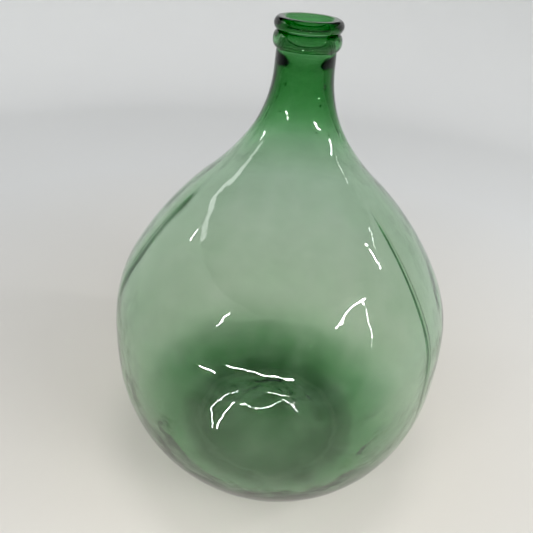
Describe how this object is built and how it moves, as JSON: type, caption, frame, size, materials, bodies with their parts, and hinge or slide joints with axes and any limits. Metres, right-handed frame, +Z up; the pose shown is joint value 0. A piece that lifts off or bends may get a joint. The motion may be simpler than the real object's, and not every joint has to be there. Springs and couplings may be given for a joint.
{
  "type": "glass carboy",
  "caption": "Empty hand-blown green glass carboy with an onion-shaped belly, slim neck, double-ringed open mouth and pushed-up base.",
  "frame": {"origin": "on the axis of the vessel, on the plane it stands on", "axes": "+Z up along the axis of the vessel, towards the mouth; X and Y are free, because the vessel is round"},
  "size_m": [0.4599, 0.46, 0.622],
  "materials": {
    "green_glass": "thin hand-blown glass, pale grey-green, wavy, gloss",
    "mouth_glass": "thick hand-tooled glass, deep green, gloss"
  },
  "bodies": {
    "root": {"blown_vessel": "green_glass", "applied_lip": "mouth_glass", "string_ring": "mouth_glass"}
  },
  "joints": []
}
